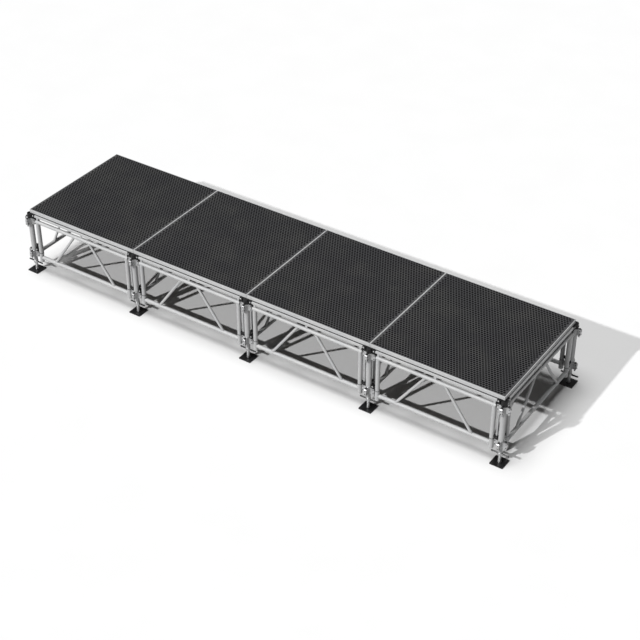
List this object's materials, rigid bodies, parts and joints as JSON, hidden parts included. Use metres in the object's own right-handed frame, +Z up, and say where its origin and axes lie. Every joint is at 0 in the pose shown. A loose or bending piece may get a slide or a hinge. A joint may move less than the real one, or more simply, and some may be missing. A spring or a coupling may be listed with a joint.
{
  "type": "stage riser platform",
  "caption": "Low modular stage riser: square anti-slip decks in a row on aluminium truss frames, with tube legs, hook couplers and screw jack feet.",
  "frame": {"origin": "on the floor under the middle of the row", "axes": "+X along the row of decks, +Y from the front to the back, +Z up"},
  "size_m": [5.04, 1.34, 0.656],
  "materials": {
    "deck_surface": "black phenolic film with a raised anti-slip dot pattern",
    "deck_edge": "mill finish extrusion, lightly brushed",
    "frame_tube": "mill finish tube, welded",
    "leg_tube": "mill finish tube",
    "black_casting": "black powder coat on castings",
    "receiver_zinc": "zinc-plated steel castings",
    "pin_steel": "zinc-plated pin with a blackened head",
    "rod_steel": "zinc-plated rod",
    "jack_steel": "black coated plate with a zinc-plated spindle",
    "nut_casting": "blackened casting"
  },
  "bodies": {
    "stage": {"deck_board_1": "deck_surface", "deck_board_2": "deck_surface", "deck_board_3": "deck_surface", "deck_board_4": "deck_surface", "deck_frame_1": "deck_edge", "deck_frame_2": "deck_edge", "deck_frame_3": "deck_edge", "deck_frame_4": "deck_edge", "front_truss_frame_1": "frame_tube", "front_truss_frame_2": "frame_tube", "front_truss_frame_3": "frame_tube", "front_truss_frame_4": "frame_tube", "back_truss_frame_1": "frame_tube", "back_truss_frame_2": "frame_tube", "back_truss_frame_3": "frame_tube", "back_truss_frame_4": "frame_tube", "cross_truss_frame_1": "frame_tube", "cross_truss_frame_2": "frame_tube", "cross_truss_frame_3": "frame_tube", "cross_truss_frame_4": "frame_tube", "cross_truss_frame_5": "frame_tube", "leg_post_1": "leg_tube", "leg_post_2": "leg_tube", "leg_post_3": "leg_tube", "leg_post_4": "leg_tube", "leg_post_5": "leg_tube", "leg_post_6": "leg_tube", "leg_post_7": "leg_tube", "leg_post_8": "leg_tube", "leg_post_9": "leg_tube", "leg_post_10": "leg_tube", "leg_caps": "black_casting", "coupler_receivers_upper": "receiver_zinc", "coupler_receivers_lower": "receiver_zinc", "parked_pins": "pin_steel", "frame_hooks_upper": "black_casting", "frame_hooks_lower": "black_casting"},
    "foot_1": {"jack_foot_1": "jack_steel"},
    "nut_1": {"jack_nut_1": "nut_casting"},
    "foot_2": {"jack_foot_2": "jack_steel"},
    "nut_2": {"jack_nut_2": "nut_casting"},
    "foot_3": {"jack_foot_3": "jack_steel"},
    "nut_3": {"jack_nut_3": "nut_casting"},
    "foot_4": {"jack_foot_4": "jack_steel"},
    "nut_4": {"jack_nut_4": "nut_casting"},
    "foot_5": {"jack_foot_5": "jack_steel"},
    "nut_5": {"jack_nut_5": "nut_casting"},
    "foot_6": {"jack_foot_6": "jack_steel"},
    "nut_6": {"jack_nut_6": "nut_casting"},
    "foot_7": {"jack_foot_7": "jack_steel"},
    "nut_7": {"jack_nut_7": "nut_casting"},
    "foot_8": {"jack_foot_8": "jack_steel"},
    "nut_8": {"jack_nut_8": "nut_casting"},
    "foot_9": {"jack_foot_9": "jack_steel"},
    "nut_9": {"jack_nut_9": "nut_casting"},
    "foot_10": {"jack_foot_10": "jack_steel"},
    "nut_10": {"jack_nut_10": "nut_casting"},
    "rods_front": {"lock_rods_front": "rod_steel"},
    "rods_back": {"lock_rods_back": "rod_steel"},
    "rods_cross": {"lock_rods_cross": "rod_steel"}
  },
  "joints": [
    {"name": "nut_turn_1", "type": "hinge", "parent": "stage", "child": "nut_1", "pos_m": [-2.44, -0.61, 0.093], "axis": [0, 0, 1], "range_deg": [-2030, 6755]},
    {"name": "jack_slide_1", "type": "slide", "parent": "stage", "child": "foot_1", "axis": [0, 0, -1], "range_m": [-0.045, 0.15]},
    {"name": "nut_turn_2", "type": "hinge", "parent": "stage", "child": "nut_2", "pos_m": [-1.22, -0.61, 0.093], "axis": [0, 0, 1], "range_deg": [-2030, 6755]},
    {"name": "jack_slide_2", "type": "slide", "parent": "stage", "child": "foot_2", "axis": [0, 0, -1], "range_m": [-0.045, 0.15]},
    {"name": "nut_turn_3", "type": "hinge", "parent": "stage", "child": "nut_3", "pos_m": [0, -0.61, 0.093], "axis": [0, 0, 1], "range_deg": [-2030, 6755]},
    {"name": "jack_slide_3", "type": "slide", "parent": "stage", "child": "foot_3", "axis": [0, 0, -1], "range_m": [-0.045, 0.15]},
    {"name": "nut_turn_4", "type": "hinge", "parent": "stage", "child": "nut_4", "pos_m": [1.22, -0.61, 0.093], "axis": [0, 0, 1], "range_deg": [-2030, 6755]},
    {"name": "jack_slide_4", "type": "slide", "parent": "stage", "child": "foot_4", "axis": [0, 0, -1], "range_m": [-0.045, 0.15]},
    {"name": "nut_turn_5", "type": "hinge", "parent": "stage", "child": "nut_5", "pos_m": [2.44, -0.61, 0.093], "axis": [0, 0, 1], "range_deg": [-2030, 6755]},
    {"name": "jack_slide_5", "type": "slide", "parent": "stage", "child": "foot_5", "axis": [0, 0, -1], "range_m": [-0.045, 0.15]},
    {"name": "nut_turn_6", "type": "hinge", "parent": "stage", "child": "nut_6", "pos_m": [-2.44, 0.61, 0.093], "axis": [0, 0, 1], "range_deg": [-2030, 6755]},
    {"name": "jack_slide_6", "type": "slide", "parent": "stage", "child": "foot_6", "axis": [0, 0, -1], "range_m": [-0.045, 0.15]},
    {"name": "nut_turn_7", "type": "hinge", "parent": "stage", "child": "nut_7", "pos_m": [-1.22, 0.61, 0.093], "axis": [0, 0, 1], "range_deg": [-2030, 6755]},
    {"name": "jack_slide_7", "type": "slide", "parent": "stage", "child": "foot_7", "axis": [0, 0, -1], "range_m": [-0.045, 0.15]},
    {"name": "nut_turn_8", "type": "hinge", "parent": "stage", "child": "nut_8", "pos_m": [0, 0.61, 0.093], "axis": [0, 0, 1], "range_deg": [-2030, 6755]},
    {"name": "jack_slide_8", "type": "slide", "parent": "stage", "child": "foot_8", "axis": [0, 0, -1], "range_m": [-0.045, 0.15]},
    {"name": "nut_turn_9", "type": "hinge", "parent": "stage", "child": "nut_9", "pos_m": [1.22, 0.61, 0.093], "axis": [0, 0, 1], "range_deg": [-2030, 6755]},
    {"name": "jack_slide_9", "type": "slide", "parent": "stage", "child": "foot_9", "axis": [0, 0, -1], "range_m": [-0.045, 0.15]},
    {"name": "nut_turn_10", "type": "hinge", "parent": "stage", "child": "nut_10", "pos_m": [2.44, 0.61, 0.093], "axis": [0, 0, 1], "range_deg": [-2030, 6755]},
    {"name": "jack_slide_10", "type": "slide", "parent": "stage", "child": "foot_10", "axis": [0, 0, -1], "range_m": [-0.045, 0.15]},
    {"name": "lock_lift_front", "type": "slide", "parent": "stage", "child": "rods_front", "axis": [0, 0, 1], "range_m": [0, 0.026]},
    {"name": "lock_lift_back", "type": "slide", "parent": "stage", "child": "rods_back", "axis": [0, 0, 1], "range_m": [0, 0.026]},
    {"name": "lock_lift_cross", "type": "slide", "parent": "stage", "child": "rods_cross", "axis": [0, 0, 1], "range_m": [0, 0.026]}
  ],
  "couplings": [
    {"joint": "nut_turn_1", "follows": "jack_slide_1", "rad_per_m": 785.4},
    {"joint": "nut_turn_2", "follows": "jack_slide_2", "rad_per_m": 785.4},
    {"joint": "nut_turn_3", "follows": "jack_slide_3", "rad_per_m": 785.4},
    {"joint": "nut_turn_4", "follows": "jack_slide_4", "rad_per_m": 785.4},
    {"joint": "nut_turn_5", "follows": "jack_slide_5", "rad_per_m": 785.4},
    {"joint": "nut_turn_6", "follows": "jack_slide_6", "rad_per_m": 785.4},
    {"joint": "nut_turn_7", "follows": "jack_slide_7", "rad_per_m": 785.4},
    {"joint": "nut_turn_8", "follows": "jack_slide_8", "rad_per_m": 785.4},
    {"joint": "nut_turn_9", "follows": "jack_slide_9", "rad_per_m": 785.4},
    {"joint": "nut_turn_10", "follows": "jack_slide_10", "rad_per_m": 785.4}
  ]
}
